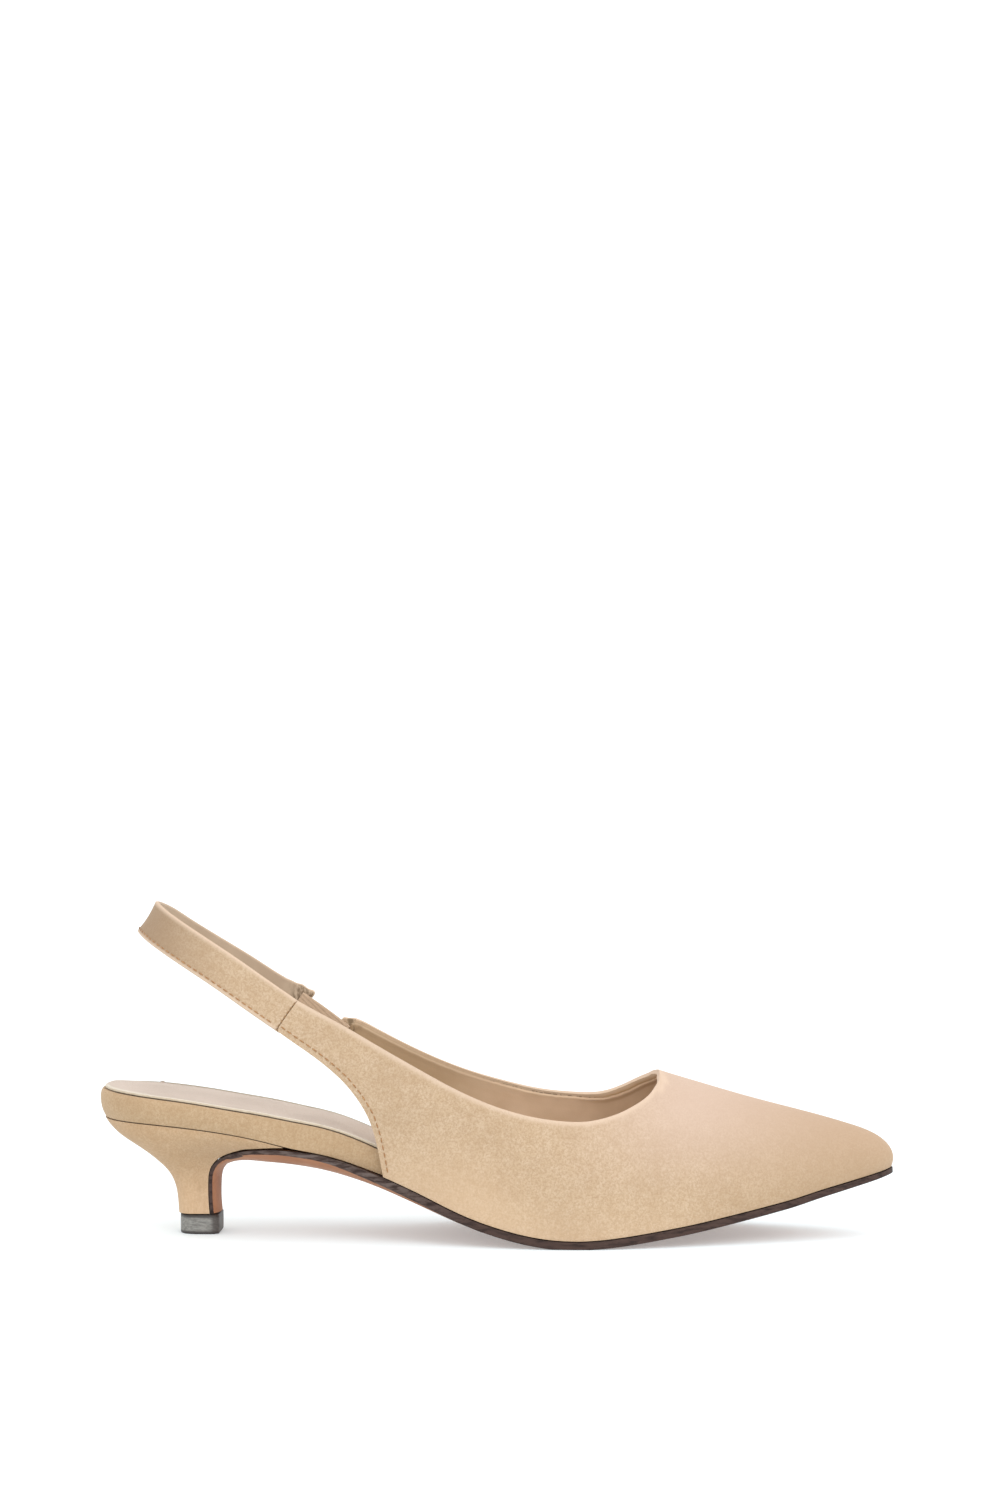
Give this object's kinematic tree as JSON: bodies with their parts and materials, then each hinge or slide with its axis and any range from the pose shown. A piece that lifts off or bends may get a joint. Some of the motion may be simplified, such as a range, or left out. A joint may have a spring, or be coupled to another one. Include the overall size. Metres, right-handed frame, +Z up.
{
  "type": "kitten heel pump",
  "caption": "Pointed-toe kitten heel pump in beige suede, right shoe, open at the back with a sling strap and elastic gore.",
  "frame": {"origin": "middle of the heel tip's floor face", "axes": "+X to the toe, +Y to the inner side of the foot, +Z up from the floor"},
  "size_m": [0.264, 0.0752, 0.1104],
  "materials": {
    "sole_leather": "smooth leather with a dark painted edge",
    "tip_rubber": "matte",
    "suede": "short napped suede",
    "lining": "smooth",
    "elastic": "ribbed webbing"
  },
  "bodies": {
    "root": {"outsole": "sole_leather", "top_piece": "tip_rubber", "heel": "suede", "seat_board": "suede", "insole": "lining", "upper": "suede", "sling_strap": "suede", "elastic_gore": "elastic"}
  },
  "joints": []
}
